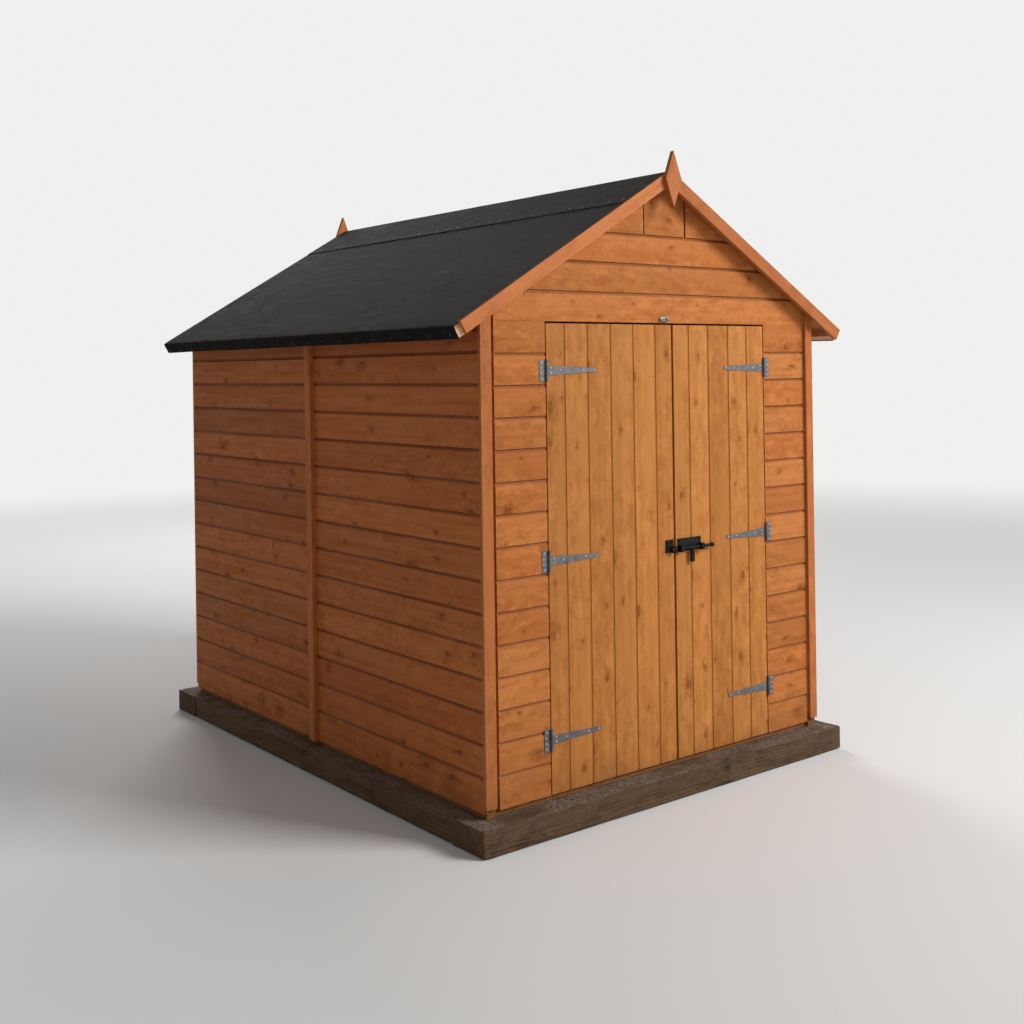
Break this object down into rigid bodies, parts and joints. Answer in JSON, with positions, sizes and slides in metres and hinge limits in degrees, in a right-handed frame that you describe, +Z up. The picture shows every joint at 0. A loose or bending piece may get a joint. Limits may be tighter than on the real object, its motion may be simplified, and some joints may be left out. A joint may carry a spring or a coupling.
{
  "type": "wooden garden shed",
  "caption": "Timber apex garden shed with a felted roof and hinged double doors, on a frame of sleepers.",
  "frame": {"origin": "on the ground below the middle of the shed", "axes": "+X to the right along the door front, +Y from the door front to the back, +Z up"},
  "size_m": [2.109, 2.57, 2.54],
  "materials": {
    "cladding_timber": "amber stained, satin",
    "trim_timber": "amber stained, satin",
    "door_timber": "amber stained, satin",
    "frame_timber": "sawn",
    "floor_timber": "sawn",
    "roof_board": "sawn board",
    "sleeper_timber": "weathered, treated",
    "roof_felt": "mineral surfaced bitumen felt",
    "galvanised_steel": "galvanised",
    "black_steel": "black, satin"
  },
  "bodies": {
    "shed": {"base_sleeper_front": "sleeper_timber", "base_sleeper_rear": "sleeper_timber", "base_sleeper_left": "sleeper_timber", "base_sleeper_right": "sleeper_timber", "floor_bearers": "floor_timber", "floor_deck": "floor_timber", "left_wall_front": "cladding_timber", "left_wall_rear": "cladding_timber", "right_wall_front": "cladding_timber", "right_wall_rear": "cladding_timber", "left_frame": "frame_timber", "right_frame": "frame_timber", "front_wall_left": "cladding_timber", "front_wall_right": "cladding_timber", "front_gable": "cladding_timber", "rear_wall": "cladding_timber", "rear_gable": "cladding_timber", "front_frame": "frame_timber", "rear_frame": "frame_timber", "front_corner_strips": "trim_timber", "rear_corner_strips": "trim_timber", "side_joint_covers": "trim_timber", "roof_deck_left": "roof_board", "roof_deck_right": "roof_board", "roof_felt_left": "roof_felt", "roof_felt_right": "roof_felt", "ridge_cap": "roof_felt", "eaves_battens": "frame_timber", "purlins": "frame_timber", "ridge_beam": "frame_timber", "roof_truss": "frame_timber", "barge_board_front_left": "trim_timber", "barge_board_front_right": "trim_timber", "barge_board_rear_left": "trim_timber", "barge_board_rear_right": "trim_timber", "finial_front": "trim_timber", "finial_rear": "trim_timber", "left_hinge_flanges": "galvanised_steel", "right_hinge_flanges": "galvanised_steel", "turn_button_screw": "galvanised_steel"},
    "left_door": {"left_door_boards": "door_timber", "left_door_ledges": "frame_timber", "left_hinge_straps": "galvanised_steel", "bolt_keep": "black_steel"},
    "right_door": {"right_door_boards": "door_timber", "right_door_ledges": "frame_timber", "right_hinge_straps": "galvanised_steel", "bolt_plate": "black_steel"},
    "bolt": {"bolt_bar": "black_steel"},
    "turn_button": {"turn_button": "galvanised_steel"}
  },
  "joints": [
    {"name": "left_door_hinge", "type": "hinge", "parent": "shed", "child": "left_door", "pos_m": [-0.6045, -1.2015, 0], "axis": [0, 0, -1], "range_deg": [0, 160]},
    {"name": "right_door_hinge", "type": "hinge", "parent": "shed", "child": "right_door", "pos_m": [0.6045, -1.2015, 0], "axis": [0, 0, 1], "range_deg": [0, 160]},
    {"name": "bolt_slide", "type": "slide", "parent": "right_door", "child": "bolt", "axis": [-1, 0, 0], "range_m": [0, 0.042]},
    {"name": "turn_button_pivot", "type": "hinge", "parent": "shed", "child": "turn_button", "pos_m": [0.023, -1.2025, 1.88], "axis": [0, -1, 0], "range_deg": [0, 90]}
  ]
}
